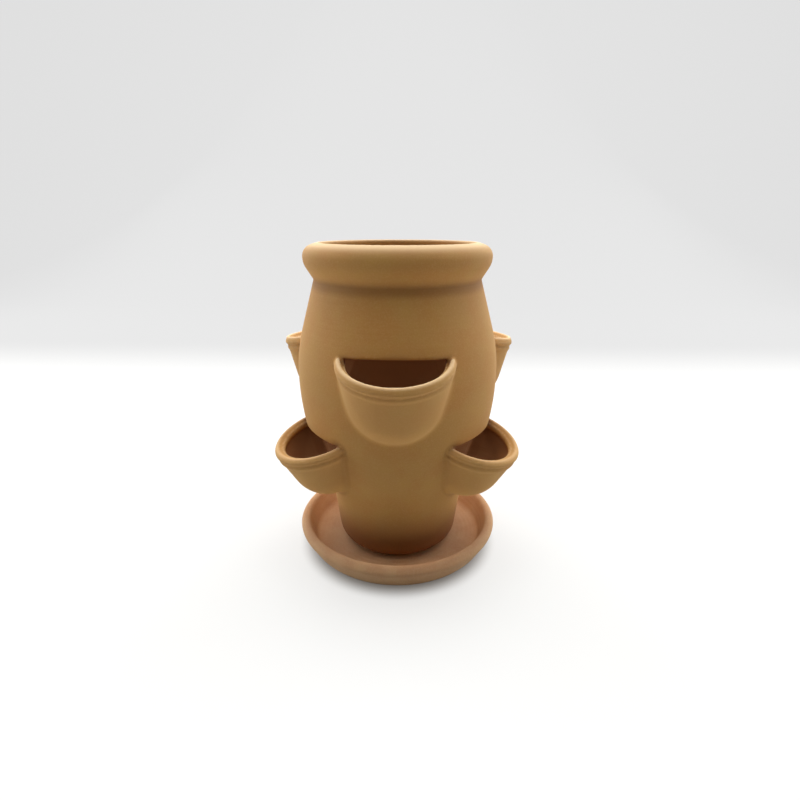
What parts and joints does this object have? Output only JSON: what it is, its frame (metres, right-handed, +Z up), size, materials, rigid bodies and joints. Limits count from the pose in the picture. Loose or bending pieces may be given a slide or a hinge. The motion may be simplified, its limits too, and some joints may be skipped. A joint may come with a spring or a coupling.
{
  "type": "strawberry jar planter",
  "caption": "Unglazed clay planter jar with a rolled collar, planting pockets around its side in an upper and a lower ring, and a loose round saucer.",
  "frame": {"origin": "centre of the flat under the saucer, on the jar's axis", "axes": "+Z up along the jar's axis, -Y towards the upper pocket that faces the front, +X to the right"},
  "size_m": [0.1484, 0.1579, 0.19],
  "materials": {
    "jar_clay": "matte",
    "saucer_clay": "matte"
  },
  "bodies": {
    "saucer": {"saucer": "saucer_clay"},
    "jar": {"jar_wall": "jar_clay", "upper_pocket_front": "jar_clay", "upper_pocket_right": "jar_clay", "upper_pocket_left": "jar_clay", "lower_pocket_rear": "jar_clay", "lower_pocket_right": "jar_clay", "lower_pocket_left": "jar_clay"}
  },
  "joints": [
    {"name": "jar_lift", "type": "slide", "parent": "saucer", "child": "jar", "axis": [0, 0, 1], "range_m": [0, 0.08]}
  ]
}
